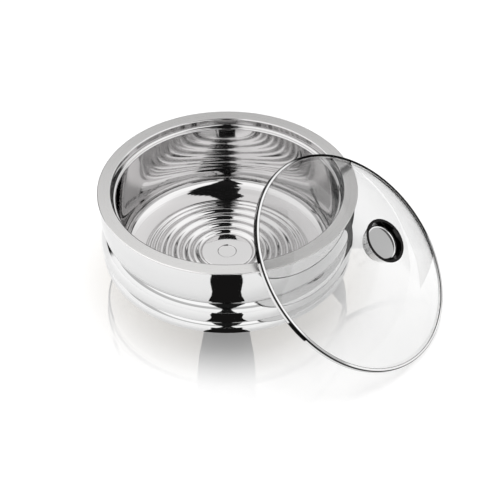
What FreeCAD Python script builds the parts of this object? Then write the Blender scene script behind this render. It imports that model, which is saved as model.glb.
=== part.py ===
import FreeCAD, Part

import math
import os

# Insulated chapati casserole: a double-walled steel bowl and its lift-off glass lid.
# The bowl stands on the plane z = 0 with its axis on Z. The lid has been taken off and
# leans against the bowl on the +X side, its lower edge on the table. Millimetres.

# Bowl, overall
rim_radius = 115.0  # outer edge of the flat rim
rim_height = 98.0  # top of the rim above the table
inner_sheet = 0.6  # steel of the inner bowl
outer_sheet = 0.7  # steel of the outer shell and the base plate
foam_gap = 0.3  # between the foam and the steel round it
seat_gap = 0.05  # between curved faces that are assembled tight

# Rim and the recess that the lid sits in
rim_width = 12.6  # flat of the rim, from its edge to the recess
rim_edge_round = 0.9  # rounding of the rolled outer edge
hem_width = 2.2  # how far the rolled edge is folded back under the rim
recess_depth = 8.0
recess_bend = 1.2  # bend from the flat rim into the recess
recess_corner = 2.2  # bend from the recess wall to the ledge
ledge_width = 3.9  # from the recess wall to the wall of the bowl
ledge_bend = 1.0  # bend from the ledge into the wall of the bowl

# Inside of the bowl. Its depth is what the shell's taper leaves room for.
slope_margin = 0.2  # flat from the outermost rib to the floor's rising outer band
slope_angle = 22.0  # how steeply that band rises in the end, in degrees
slope_flat = 0.5  # its straight part, between a soft bend and the bend into the wall
floor_corner = 12.0  # bend from the band into the wall
corner_foam = 9.0  # room for foam between that bend and the taper

# Ribs pressed into the floor: rings of one pitch round a raised centre disc
disc_rise = 1.2  # centre disc above the flat band
disc_flat_radius = 22.6  # where the disc begins to round down into the first valley
disc_side = 2.4  # from there to the valley
dimple_radius = 9.0
dimple_depth = 0.9
dimple_side = 1.2  # slope round the dimple
rib_pitch = 10.15
rib_count = 4
rib_height = 2.0  # valley to crest
edge_rib_gap = 4.8  # from the last valley to the one inside the narrow outermost rib
edge_rib_width = 4.9
edge_rib_height = 1.1
edge_rib_side = 1.4  # slope from the outermost rib to the flat band

# Outer shell: an upper tier and two rounded beads, over a straight taper.
# Each inset is measured from the rim's edge, each drop from the rim's top.
neck_inset = 4.7  # where the shell meets the rim
belly_inset = 1.5  # widest point of the upper tier
belly_drop = 19.0
belly_bend = 5.0  # tuck from the tier's face into the crease below it
upper_crease_inset = 7.3
upper_crease_drop = 39.4
bead_inset = 0.8  # widest point of the middle bead
bead_round = 16.0  # its face
bead_bend = 5.0  # tuck below that face
bead_height = 19.8  # between the creases above and below it
lower_crease_inset = 7.8
skirt_round = 28.0  # face of the lowest bead
shoulder_inset = 2.2  # widest point of the lowest bead, on the bend below its face
shoulder_drop = 8.1  # below the crease above it
shoulder_round = 7.0  # that bend
crease_round = 0.6  # bottom of each crease
foot_inset = 39.0  # where the taper would meet the table
foot_round = 3.0

# Base plate and the plug of its filling hole
foot_land = 6.0  # from the foot's corner to the edge of the plate
plate_gap = 0.2  # between the plate and the shell round it
lap_width = 6.0  # how far the shell's inner flange lies over the plate
lap_round = 0.6  # outer bend of that flange
fill_hole_radius = 8.0
plug_head_overlap = 1.5  # head over the edge of the hole, all round
plug_head_height = 1.5

# Lid: steel band and glass. Heights are from the underside of the band.
lid_clearance = 1.0  # play of the band in the bowl's recess
band_sheet = 0.45
band_round = 1.0
top_lip_width = 2.6  # from the band's outer edge to the edge of its upper lip
bottom_lip_width = 3.0
glass_thickness = 4.0
dome_radius = 174.9  # sphere of the glass's outer face
glass_edge_round = 1.5  # where the dome turns flat inside the band
glass_edge_ground = 0.8  # ground corners of the edge

# Knob
knob_top_radius = 19.9
knob_flare = 5.1  # top radius over base radius
knob_height = 12.6  # underside to the top edge
knob_base_round = 2.0
knob_sheet = 0.8
dish_border = 2.3  # flat edge round the recess in the top of the knob
dish_depth = 5.5
dish_sheet = 0.6
dish_corner = 1.8
dish_edge_round = 0.25
cushion_inset = 1.2  # silicone ring between knob and glass, inside the knob's base
cushion_height = 1.4  # at its outer edge
bush_wall = 2.1  # threaded bush inside the knob
screw_radius = 2.45
screw_head_overlap = 2.25  # head over the shank, all round
screw_head_height = 2.9
screw_head_round = 1.2
screw_socket_radius = 1.5
screw_socket_depth = 1.6
screw_tip_round = 0.5
screw_tip_gap = 0.8  # between the screw's tip and the recess above it
washer_inset = 1.0  # inside the edge of the grommet
washer_height = 1.0
grommet_collar = 1.45  # wall between the screw and the glass
grommet_flange = 5.0  # over the edge of the glass's hole
grommet_height = 1.3

# How the lid leans
lean_angle = 39.1  # lid plane to the table, in degrees
lean_gap = 0.1  # between the band and the rim it leans on, at the rim's unrounded edge

# Places that follow from the sizes above: first inwards from the rim, then down from it
recess_radius = rim_radius - rim_width
wall_radius = recess_radius - ledge_width
neck_radius = rim_radius - neck_inset
belly_radius = rim_radius - belly_inset
upper_crease_radius = rim_radius - upper_crease_inset
bead_radius = rim_radius - bead_inset
lower_crease_radius = rim_radius - lower_crease_inset
shoulder_radius = rim_radius - shoulder_inset
foot_radius = rim_radius - foot_inset
plate_radius = foot_radius - foot_land
belly_height = rim_height - belly_drop
upper_crease_height = rim_height - upper_crease_drop
lower_crease_height = upper_crease_height - bead_height
shoulder_height = lower_crease_height - shoulder_drop
ledge_height = rim_height - recess_depth
# the soft bend into the rising band takes what the ribs, the straight part and the bend
# into the wall leave
edge_rib_radius = disc_flat_radius + disc_side + rib_count * rib_pitch + edge_rib_gap
slope_start = edge_rib_radius + edge_rib_width + edge_rib_side + slope_margin
slope = math.radians(slope_angle)
slope_taken = slope_flat * math.cos(slope) + floor_corner * (1 - math.sin(slope))
slope_bend = (wall_radius - slope_start - slope_taken) / math.sin(slope)
slope_radius = slope_start + slope_bend * math.tan(slope / 2)
slope_width = wall_radius - slope_radius
# the rim is a folded seam: inner sheet, the shell's flange, inner sheet again
flange_top = rim_height - inner_sheet
flange_bottom = flange_top - outer_sheet
hem_bottom = flange_bottom - inner_sheet

# Lid and knob, outwards from the screw
shank_hole_radius = screw_radius + seat_gap
glass_hole_radius = shank_hole_radius + grommet_collar + seat_gap
grommet_radius = glass_hole_radius + grommet_flange
washer_radius = grommet_radius - washer_inset
screw_head_radius = screw_radius + screw_head_overlap
bush_radius = shank_hole_radius + bush_wall
knob_base_radius = knob_top_radius - knob_flare
cushion_radius = knob_base_radius - cushion_inset
dish_radius = knob_top_radius - dish_border
lid_radius = recess_radius - lid_clearance


def point(radius, height):
    return FreeCAD.Vector(radius, 0, height)


def line(start, end):
    return Part.LineSegment(start, end).toShape()


def arc(start, middle, end):
    return Part.Arc(start, middle, end).toShape()


def revolve(edges):
    """Turn a closed outline in the XZ half plane into a solid about Z."""
    wire = Part.Wire(Part.__sortEdges__(edges))
    solid = Part.Face(wire).revolve(FreeCAD.Vector(0, 0, 0), FreeCAD.Vector(0, 0, 1), 360)
    return Part.Solid(solid.Shells[0]) if solid.ShapeType != "Solid" else solid


def lathe(corners):
    """Revolve a closed outline of (radius, height, rounding) corners."""
    count = len(corners)
    edges = []
    joints = []
    for index, (radius, height, rounding) in enumerate(corners):
        here = point(radius, height)
        before = point(*corners[index - 1][:2])
        after = point(*corners[(index + 1) % count][:2])
        joints.append(corner_joint(before, here, after, rounding))
    for index, (entry, middle, leave) in enumerate(joints):
        if middle is not None:
            edges.append(arc(entry, middle, leave))
        next_entry = joints[(index + 1) % count][0]
        if leave.distanceToPoint(next_entry) > 1e-6:
            edges.append(line(leave, next_entry))
    return revolve(edges)


def corner_joint(before, here, after, rounding):
    """Where a rounded corner begins, its mid point and where it ends."""
    if rounding <= 0:
        return here, None, here
    inward = (before - here).normalize()
    outward = (after - here).normalize()
    half = inward.getAngle(outward) / 2
    reach = rounding / math.tan(half)
    bisector = (inward + outward).normalize()
    centre = here + bisector * (rounding / math.sin(half))
    return here + inward * reach, centre - bisector * rounding, here + outward * reach


def circle_through(first, second, third):
    """Centre and radius of the circle through three points of the XZ plane."""
    circle = Part.Circle(first, second, third)
    return circle.Center, circle.Radius


def crossings(centre_a, radius_a, centre_b, radius_b):
    """The crossings of two circles in the XZ plane, the one further in first."""
    apart = centre_b - centre_a
    along = (radius_a**2 - radius_b**2 + apart.Length**2) / (2 * apart.Length)
    aside = math.sqrt(radius_a**2 - along**2)
    direction = FreeCAD.Vector(apart).normalize()
    across = FreeCAD.Vector(-direction.z, 0, direction.x)
    foot = centre_a + direction * along
    return sorted((foot + across * aside, foot - across * aside), key=lambda spot: spot.x)


def toward(centre, target, distance):
    return centre + FreeCAD.Vector(target - centre).normalize() * distance


def bend(centre, start, end):
    """The shorter arc about a centre from one point to another."""
    middle = toward(centre, (start + end) * 0.5, centre.distanceToPoint(start))
    return arc(start, middle, end)


def shell_curves():
    """Circles of the three faces and the bend below each, and centres of the two creases."""
    upper_crease = point(upper_crease_radius, upper_crease_height)
    lower_crease = point(lower_crease_radius, lower_crease_height)
    belly = circle_through(
        point(neck_radius, flange_top),
        point(belly_radius, belly_height),
        point(neck_radius, 2 * belly_height - flange_top),
    )
    bead_x = bead_radius - bead_round
    drop = math.sqrt(bead_round**2 - (upper_crease_radius - bead_x) ** 2)
    bead = (point(bead_x, upper_crease_height - drop), bead_round)
    # each tuck leaves its face smoothly and ends in the crease
    bends = []
    for face, size, crease in (
        (belly, belly_bend, upper_crease),
        (bead, bead_bend, lower_crease),
    ):
        _, centre = crossings(crease, size, face[0], face[1] - size)
        bends.append((centre, size))
    shoulder = (point(shoulder_radius - shoulder_round, shoulder_height), shoulder_round)
    skirt_centre, _ = crossings(
        lower_crease, skirt_round, shoulder[0], skirt_round - shoulder_round
    )
    faces = [belly, bead, (skirt_centre, skirt_round)]
    creases = []
    for upper, lower in zip(bends, faces[1:]):
        _, centre = crossings(
            upper[0], upper[1] + crease_round, lower[0], lower[1] + crease_round
        )
        creases.append(centre)
    return faces, bends + [shoulder], creases


def taper_normal():
    """Outward direction square to the straight taper between lowest bead and foot."""
    centre, radius = shell_curves()[1][-1]
    to_foot = point(foot_radius, 0) - centre
    turn = math.atan2(to_foot.z, to_foot.x) + math.acos(radius / to_foot.Length)
    return FreeCAD.Vector(math.cos(turn), 0, math.sin(turn))


def lowest_floor():
    """Height of the bowl's floor at which its bend leaves the foam's room at the taper."""
    centre, radius = shell_curves()[1][-1]
    outward = taper_normal()
    shell_face = outward.dot(centre) + radius - outer_sheet
    bowl_face = shell_face - corner_foam
    bend_radius = wall_radius - floor_corner
    bend_reach = bowl_face - inner_sheet - floor_corner - outward.x * bend_radius
    bend_height = bend_reach / outward.z
    # less the height of the bend's centre above the flat floor
    rise_to_bend = (slope_width - floor_corner) * math.tan(slope)
    return bend_height - rise_to_bend - floor_corner / math.cos(slope)


floor_height = lowest_floor()
slope_top = floor_height + slope_width * math.tan(slope)


def shell_outline(inset, bottom):
    """Closed outline of everything inside the shell's outer face, less an inset."""
    faces, bends, creases = shell_curves()
    belly = faces[0]
    top = flange_top
    reach = math.sqrt((belly[1] - inset) ** 2 - (top - belly[0].z) ** 2)
    here = point(belly[0].x + reach, top)
    edges = [line(point(0, top), here)]
    for index, (centre, radius) in enumerate(faces):
        bend_centre, bend_radius = bends[index]
        into_bend = toward(centre, bend_centre, radius - inset)
        edges.append(bend(centre, here, into_bend))
        here = into_bend
        if index < len(creases):
            crease = creases[index]
            below_centre, below_radius = faces[index + 1]
            into_crease = toward(bend_centre, crease, bend_radius - inset)
            out_of_crease = toward(below_centre, crease, below_radius - inset)
            edges.append(bend(bend_centre, here, into_crease))
            edges.append(bend(crease, into_crease, out_of_crease))
            here = out_of_crease
    # straight taper from the last bend to the foot
    outward = taper_normal()
    taper_start = bend_centre + outward * (bend_radius - inset)
    edges.append(bend(bend_centre, here, taper_start))
    along = FreeCAD.Vector(outward.z, 0, -outward.x)
    corner = taper_start + along * ((bottom - taper_start.z) / along.z)
    axis_end = point(0, bottom)
    entry, middle, leave = corner_joint(taper_start, corner, axis_end, foot_round - inset)
    edges.append(line(taper_start, entry))
    edges.append(arc(entry, middle, leave))
    edges.append(line(leave, axis_end))
    edges.append(line(axis_end, point(0, top)))
    return edges


def make_outer_shell():
    body = revolve(shell_outline(0, 0))
    hollow = revolve(shell_outline(outer_sheet, outer_sheet))
    shell = body.cut(hollow)
    # flange at the neck, folded into the rim's hem
    flange_edge = rim_radius - inner_sheet - seat_gap
    flange = lathe(
        [
            (neck_radius - outer_sheet, flange_bottom, 0),
            (flange_edge, flange_bottom, 0),
            (flange_edge, flange_top, 0),
            (neck_radius - outer_sheet, flange_top, 0),
        ]
    )
    shell = shell.fuse(flange)
    # step over the base plate, and the flange that is welded to it
    opening_radius = plate_radius + plate_gap
    hole = Part.makeCylinder(opening_radius, outer_sheet * 3, point(0, -outer_sheet))
    lap = lathe(
        [
            (plate_radius - lap_width, outer_sheet, 0),
            (opening_radius + outer_sheet, outer_sheet, 0),
            (opening_radius + outer_sheet, 2 * outer_sheet, lap_round),
            (plate_radius - lap_width, 2 * outer_sheet, 0),
        ]
    )
    return shell.cut(hole).fuse(lap).removeSplitter()


def make_base_plate():
    plate = Part.makeCylinder(plate_radius, outer_sheet)
    return plate.cut(Part.makeCylinder(fill_hole_radius, outer_sheet * 3, point(0, -outer_sheet)))


def make_fill_plug():
    shank = fill_hole_radius - seat_gap
    head = fill_hole_radius + plug_head_overlap
    head_bottom = outer_sheet + seat_gap
    head_top = head_bottom + plug_head_height
    return lathe(
        [
            (0, 0, 0),
            (shank, 0, 0),
            (shank, head_bottom, 0),
            (head, head_bottom, 0),
            (head - plug_head_overlap, head_top, 0),
            (0, head_top, 0),
        ]
    )


def floor_profile():
    """Rib crests and valleys of the floor, as (radius, height) from the centre out."""
    valley = floor_height
    disc = floor_height + disc_rise
    spots = [(0, disc - dimple_depth), (dimple_radius - dimple_side, disc - dimple_depth)]
    spots += [(dimple_radius, disc), (disc_flat_radius, disc)]
    low = disc_flat_radius + disc_side
    spots.append((low, valley))
    for _ in range(rib_count):
        spots.append((low + rib_pitch / 2, valley + rib_height))
        low += rib_pitch
        spots.append((low, valley))
    spots.append((low + edge_rib_gap / 2, valley + edge_rib_height))
    low += edge_rib_gap
    spots.append((low, valley))
    spots.append((low + edge_rib_width / 2, valley + edge_rib_height))
    spots.append((low + edge_rib_width + edge_rib_side, valley))
    return spots


def wave(spots, lift):
    """A smooth ribbed line: each rise and fall is two equal arcs, flat at its ends."""
    edges = []
    for (start_r, start_z), (end_r, end_z) in zip(spots, spots[1:]):
        start = point(start_r, start_z + lift)
        end = point(end_r, end_z + lift)
        if abs(start_z - end_z) < 1e-9:
            edges.append(line(start, end))
            continue
        half = (start + end) * 0.5
        run = (end_r - start_r) / 2
        rise = (end_z - start_z) / 2
        radius = (run**2 + rise**2) / (2 * abs(rise))
        side = math.copysign(1, rise)
        for spot, sign in ((start, side), (end, -side)):
            centre = spot + FreeCAD.Vector(0, 0, sign * radius)
            edges.append(bend(centre, spot, half))
    return edges


def wall_outline(offset):
    """Open line of the bowl's wall from the rim inwards, offset towards the foam."""
    # how far a blunt corner of the band moves along the floor or the wall
    at_floor = math.tan(slope / 2)
    at_wall = math.tan(math.pi / 4 - slope / 2)
    # each corner: radius, height, rounding on the wet side, which way it bends, and how
    # far out and down it moves for each unit of the offset
    corners = [
        (rim_radius - hem_width, rim_height, 0, 0, 0, 1),
        (recess_radius, rim_height, recess_bend, -1, 1, 1),
        (recess_radius, ledge_height, recess_corner, 1, 1, 1),
        (wall_radius, ledge_height, ledge_bend, -1, 1, 1),
        (wall_radius, slope_top, floor_corner, 1, 1, at_wall),
        (slope_radius, floor_height, slope_bend, 1, at_floor, 1),
        (floor_profile()[-1][0], floor_height, 0, 0, 0, 1),
    ]
    placed = []
    for radius, height, rounding, turn, out, down in corners:
        size = rounding + turn * offset if rounding else 0
        placed.append((radius + out * offset, height - down * offset, max(size, 0)))
    return placed


def open_line(corners):
    """Edges of an open line through rounded corners."""
    joints = [(point(*corners[0][:2]), None, point(*corners[0][:2]))]
    for before, here, after in zip(corners, corners[1:], corners[2:]):
        joints.append(corner_joint(point(*before[:2]), point(*here[:2]), point(*after[:2]), here[2]))
    joints.append((point(*corners[-1][:2]), None, point(*corners[-1][:2])))
    edges = []
    for (_, _, leave), (entry, middle, next_leave) in zip(joints, joints[1:]):
        edges.append(line(leave, entry))
        if middle is not None:
            edges.append(arc(entry, middle, next_leave))
    return edges


def make_inner_bowl():
    spots = floor_profile()
    wet = wall_outline(0)
    dry = wall_outline(inner_sheet)
    edges = open_line(wet) + wave(spots, 0)
    edges += open_line(dry) + wave(spots, -inner_sheet)
    edges.append(line(point(*wet[0][:2]), point(*dry[0][:2])))
    edges.append(line(point(0, spots[0][1]), point(0, spots[0][1] - inner_sheet)))
    bowl = revolve(edges)
    # rolled edge of the rim: over, down and back under the shell's flange
    hem_inner = rim_radius - hem_width
    slot_edge = rim_radius - inner_sheet
    hem = lathe(
        [
            (hem_inner, rim_height, 0),
            (rim_radius, rim_height, rim_edge_round),
            (rim_radius, hem_bottom, rim_edge_round),
            (hem_inner, hem_bottom, 0),
            (hem_inner, flange_bottom, 0),
            (slot_edge, flange_bottom, 0),
            (slot_edge, flange_top, 0),
            (hem_inner, flange_top, 0),
        ]
    )
    return bowl.fuse(hem).removeSplitter()


def make_foam():
    inset = outer_sheet + foam_gap
    bottom = 2 * outer_sheet + foam_gap
    block = revolve(shell_outline(inset, bottom))
    # leave room for the inner bowl and for everything above the neck
    offset = inner_sheet + foam_gap
    _, mouth, recess, ledge, corner, band, _ = wall_outline(offset)
    room = lathe(
        [
            (0, band[1], 0),
            band,
            corner,
            ledge,
            recess,
            (mouth[0], rim_height, 0),
            (0, rim_height, 0),
        ]
    )
    ceiling = flange_bottom - foam_gap
    above = Part.makeCylinder(rim_radius, rim_height, point(0, ceiling))
    plug_room = Part.makeCylinder(
        fill_hole_radius + plug_head_overlap + foam_gap,
        outer_sheet + seat_gap + plug_head_height + foam_gap,
    )
    return block.cut(room).cut(above).cut(plug_room)


# Glass dome: a sphere cap that turns flat just inside the band
band_floor = band_sheet + seat_gap
glass_edge_top = band_floor + glass_thickness
glass_edge = lid_radius - band_sheet - 2 * seat_gap
flat_start = glass_edge - glass_edge_ground
curl_centre = point(flat_start, glass_edge_top + glass_edge_round)
dome_reach = dome_radius + glass_edge_round
dome_centre = curl_centre - point(flat_start, math.sqrt(dome_reach**2 - flat_start**2))
glass_crown = dome_centre.z + dome_radius  # top of the dome
band_top_lip = lid_radius - top_lip_width
band_bottom_lip = lid_radius - bottom_lip_width


def dome_height(radius, over):
    """Height of the dome's outer face at a radius, raised along its normal."""
    return dome_centre.z + math.sqrt((dome_radius + over) ** 2 - radius**2)


def dome_outline(over):
    """A face parallel to the dome's outer one, from the axis to where it turns flat."""
    radius = dome_radius + over
    top = point(0, dome_centre.z + radius)
    tangent = toward(dome_centre, curl_centre, radius)
    edge = curl_centre - FreeCAD.Vector(0, 0, glass_edge_round - over)
    return [bend(dome_centre, top, tangent), bend(curl_centre, tangent, edge)], top, edge


def make_lid_glass():
    upper, crown, upper_edge = dome_outline(0)
    lower, ceiling, lower_edge = dome_outline(-glass_thickness)
    top_corner = point(glass_edge, upper_edge.z)
    low_corner = point(glass_edge, lower_edge.z)
    edges = upper + lower + [line(crown, ceiling)]
    entry, middle, leave = corner_joint(upper_edge, top_corner, low_corner, glass_edge_ground)
    edges.append(arc(entry, middle, leave))
    here = leave
    entry, middle, leave = corner_joint(top_corner, low_corner, lower_edge, glass_edge_ground)
    edges.append(line(here, entry))
    edges.append(arc(entry, middle, leave))
    glass = revolve(edges)
    return glass.cut(Part.makeCylinder(glass_hole_radius, glass_crown * 2))


def make_lid_band():
    lip_over = dome_height(band_top_lip, seat_gap + band_sheet)
    wall_top = glass_edge_top + seat_gap + band_sheet
    strip = lathe(
        [
            (band_bottom_lip, 0, 0),
            (lid_radius, 0, band_round),
            (lid_radius, wall_top, band_round),
            (band_top_lip, lip_over, 0),
            (band_top_lip, band_sheet, 0),
            (band_bottom_lip, band_sheet, 0),
        ]
    )
    # the glass and its seat gap are cut out, which leaves the folded strip
    inside = lid_radius - band_sheet
    upper, crown, upper_edge = dome_outline(seat_gap)
    edge_corner = point(inside, upper_edge.z)
    low_corner = point(inside, band_sheet)
    low_centre = point(0, band_sheet)
    entry, middle, leave = corner_joint(
        edge_corner, low_corner, low_centre, band_round - band_sheet
    )
    edges = upper + [line(upper_edge, edge_corner), line(edge_corner, entry)]
    edges += [arc(entry, middle, leave), line(leave, low_centre), line(low_centre, crown)]
    return strip.cut(revolve(edges))


# Heights along the knob's axis
knob_bottom = dome_height(cushion_radius, 0) + cushion_height
knob_top = knob_bottom + knob_height
skirt_top = knob_top - dish_sheet
skirt_slope = (knob_top_radius - knob_base_radius) / (skirt_top - knob_bottom)
dish_floor = knob_top - dish_depth
bush_bottom = knob_bottom + knob_sheet
bush_top = dish_floor - dish_sheet - seat_gap
ceiling_height = glass_crown - glass_thickness  # underside of the glass at the hole
grommet_bottom = ceiling_height - grommet_height
washer_bottom = grommet_bottom - washer_height


def dome_solid(over):
    """Everything under the dome's outer face, raised along its normal."""
    return Part.makeSphere(dome_radius + over, dome_centre)


def make_knob_cushion():
    ring = Part.makeCylinder(cushion_radius, knob_height, point(0, ceiling_height))
    ring = ring.cut(Part.makeCylinder(glass_hole_radius, glass_crown * 2))
    top = Part.makeCylinder(cushion_radius * 2, knob_height * 2, point(0, knob_bottom))
    return ring.cut(top).cut(dome_solid(seat_gap))


def make_knob_skirt():
    """Flared cup of the knob, open at the top, with the screw's hole in its floor."""
    inner_base = knob_base_radius - knob_sheet + skirt_slope * knob_sheet
    return lathe(
        [
            (shank_hole_radius, knob_bottom, 0),
            (knob_base_radius, knob_bottom, knob_base_round),
            (knob_top_radius, skirt_top, 0),
            (knob_top_radius - knob_sheet, skirt_top, 0),
            (inner_base, bush_bottom, knob_base_round - knob_sheet),
            (shank_hole_radius, bush_bottom, 0),
        ]
    )


def make_knob_dish():
    """Recessed top of the knob. Its wall runs parallel to the skirt."""
    floor_radius = dish_radius - skirt_slope * dish_depth
    under_top = dish_radius + dish_sheet
    under_radius = under_top - skirt_slope * dish_depth
    return lathe(
        [
            (0, dish_floor, 0),
            (floor_radius, dish_floor, dish_corner),
            (dish_radius, knob_top, dish_edge_round),
            (knob_top_radius, knob_top, dish_edge_round),
            (knob_top_radius, skirt_top, 0),
            (under_top, skirt_top, 0),
            (under_radius, dish_floor - dish_sheet, dish_corner + dish_sheet),
            (0, dish_floor - dish_sheet, 0),
        ]
    )


def make_knob_bush():
    bush = Part.makeCylinder(bush_radius, bush_top - bush_bottom, point(0, bush_bottom))
    return bush.cut(Part.makeCylinder(shank_hole_radius, knob_top))


def make_knob_grommet():
    flange = Part.makeCylinder(grommet_radius, grommet_height * 2, point(0, grommet_bottom))
    flange = flange.common(dome_solid(-glass_thickness - seat_gap))
    collar_height = knob_bottom - grommet_bottom - seat_gap
    collar = Part.makeCylinder(glass_hole_radius - seat_gap, collar_height, point(0, grommet_bottom))
    bore = Part.makeCylinder(shank_hole_radius, glass_crown * 2)
    return flange.fuse(collar).cut(bore).removeSplitter()


def make_knob_washer():
    washer = Part.makeCylinder(washer_radius, washer_height, point(0, washer_bottom))
    bore = Part.makeCylinder(shank_hole_radius, glass_crown * 2)
    return washer.cut(bore)


def make_knob_screw():
    head_bottom = washer_bottom - screw_head_height
    tip = bush_top - screw_tip_gap
    screw = lathe(
        [
            (0, head_bottom, 0),
            (screw_head_radius, head_bottom, screw_head_round),
            (screw_head_radius, washer_bottom, 0),
            (screw_radius, washer_bottom, 0),
            (screw_radius, tip, screw_tip_round),
            (0, tip, 0),
        ]
    )
    socket = Part.makeCylinder(screw_socket_radius, screw_socket_depth, point(0, head_bottom))
    return screw.cut(socket)


def lean_placement():
    """Place of the leaning lid: lower edge on the table, lower lip over the rim's edge."""
    angle = math.radians(lean_angle)
    # the rounded lower corner of the band touches the table
    low_radius = lid_radius - band_round
    lid_height = low_radius * math.sin(angle) + band_round * (1 - math.cos(angle))
    # height of the rim above the lid's centre, and where the lip passes that height
    climb = (rim_height - lid_height) / math.sin(angle)
    aside = math.sqrt(band_bottom_lip**2 - climb**2)
    clear = rim_radius + lean_gap / math.sin(angle)
    reach = math.sqrt(clear**2 - aside**2) + climb * math.cos(angle)
    place = FreeCAD.Vector(reach, 0, lid_height)
    turn = FreeCAD.Rotation(FreeCAD.Vector(0, 1, 0), lean_angle)
    return FreeCAD.Placement(place, turn)


bowl_pieces = {
    "inner_bowl": make_inner_bowl,
    "outer_shell": make_outer_shell,
    "insulation_foam": make_foam,
    "base_plate": make_base_plate,
    "fill_plug": make_fill_plug,
}
lid_pieces = {
    "lid_glass": make_lid_glass,
    "lid_band": make_lid_band,
    "knob_cushion": make_knob_cushion,
    "knob_skirt": make_knob_skirt,
    "knob_dish": make_knob_dish,
    "knob_bush": make_knob_bush,
    "knob_grommet": make_knob_grommet,
    "knob_washer": make_knob_washer,
    "knob_screw": make_knob_screw,
}

os.makedirs("parts", exist_ok=True)
for name, maker in bowl_pieces.items():
    maker().exportStep("parts/" + name + ".step")
for name, maker in lid_pieces.items():
    piece = maker()
    piece.Placement = lean_placement()
    piece.exportStep("parts/" + name + ".step")
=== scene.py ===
import math

import bpy
import numpy as np
from mathutils import Matrix


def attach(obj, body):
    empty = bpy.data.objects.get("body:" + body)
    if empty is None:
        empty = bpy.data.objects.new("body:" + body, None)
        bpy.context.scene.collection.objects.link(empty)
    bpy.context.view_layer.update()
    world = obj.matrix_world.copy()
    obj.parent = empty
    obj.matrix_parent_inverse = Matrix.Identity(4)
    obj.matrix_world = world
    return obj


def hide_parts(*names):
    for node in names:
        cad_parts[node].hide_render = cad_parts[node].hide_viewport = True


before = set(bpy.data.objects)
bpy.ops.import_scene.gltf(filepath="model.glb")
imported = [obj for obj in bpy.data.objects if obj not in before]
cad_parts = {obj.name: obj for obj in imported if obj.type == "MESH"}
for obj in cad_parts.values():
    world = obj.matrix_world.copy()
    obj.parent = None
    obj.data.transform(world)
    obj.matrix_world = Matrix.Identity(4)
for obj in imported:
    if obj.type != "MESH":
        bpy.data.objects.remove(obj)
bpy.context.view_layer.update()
print("frame loaded:", len(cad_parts), "nodes")

mm = 0.001  # sizes are in millimetres until they reach Blender
tiny = 1e-6  # lengths below this count as none
nearlyStraight = 1.55  # half angle in radians, above which a corner isn't rounded


def sweepBetween(centre, start, end):
    # angle of the start seen from the centre, and the shorter turn from there to the end
    first = math.atan2(*(start - centre)[::-1])
    last = math.atan2(*(end - centre)[::-1])
    return first, (last - first + math.pi) % (2 * math.pi) - math.pi


def pointsAround(centre, radius, first, sweep, count):
    turn = first + sweep * np.linspace(0, 1, count)
    return centre + radius * np.stack([np.cos(turn), np.sin(turn)], axis=1)


def arcBetween(centre, start, end, count):
    # evenly turned points about the centre, the shorter way
    centre, start, end = (np.array(p, float) for p in (centre, start, end))
    return pointsAround(centre, np.linalg.norm(start - centre), *sweepBetween(centre, start, end), count)


def fillet(before, here, after, rounding, steps):
    # arc tangent to both sides of a corner, with its centre on the bisector; steps per right angle
    before, here, after = (np.array(p, float) for p in (before, here, after))
    back = (before - here) / np.linalg.norm(before - here)
    ahead = (after - here) / np.linalg.norm(after - here)
    half = math.acos(np.clip(back @ ahead, -1, 1)) / 2
    if rounding <= 0 or half > nearlyStraight:
        return here[None, :]
    centre = here + (back + ahead) / np.linalg.norm(back + ahead) * rounding / math.sin(half)
    reach = rounding / math.tan(half)
    first, sweep = sweepBetween(centre, here + back * reach, here + ahead * reach)
    count = max(3, int(steps * abs(sweep) / (math.pi / 2)) + 1)
    return pointsAround(centre, rounding, first, sweep, count)


def roundedPath(corners, steps=10):
    # straight runs joined by fillets; each corner is radius, height and rounding
    parts = [np.array(corners[0][:2], float)[None, :]]
    for before, here, after in zip(corners, corners[1:], corners[2:]):
        parts.append(fillet(before[:2], here[:2], after[:2], here[2], steps))
    parts.append(np.array(corners[-1][:2], float)[None, :])
    return np.concatenate(parts)


def circleThrough(first, second, third):
    # centre and radius from two perpendicular bisectors
    first, second, third = (np.array(p, float) for p in (first, second, third))
    sides = np.array([second - first, third - first])
    squares = np.array([second @ second - first @ first, third @ third - first @ first])
    centre = np.linalg.solve(sides, squares / 2)
    return centre, float(np.linalg.norm(first - centre))


def circleCrossings(centre, radius, other, otherRadius):
    # the inner and the outer point where two circles meet
    apart = other - centre
    length = np.linalg.norm(apart)
    along = (radius**2 - otherRadius**2 + length**2) / (2 * length)
    aside = math.sqrt(radius**2 - along**2)
    unit = apart / length
    spots = [centre + unit * along + sign * aside * np.array([-unit[1], unit[0]]) for sign in (1, -1)]
    return sorted(spots, key=lambda spot: spot[0])


def pointToward(centre, target, distance):
    return centre + (target - centre) / np.linalg.norm(target - centre) * distance


def heldRuns(path, hold=0.12, longest=6.0):
    # points near both ends of each run longer than five holds, so that smooth shading stays at the bends
    out = [path[:1]]
    for start, end in zip(path, path[1:]):
        length = np.linalg.norm(end - start)
        share = np.array([1.0])
        if length > 5 * hold:
            middle = np.linspace(0, 1, max(2, int(length / longest) + 1))[1:-1]
            share = np.concatenate([[hold / length], middle, [1 - hold / length], share])
        out.append(start + (end - start) * share[:, None])
    return np.concatenate(out)


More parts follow.
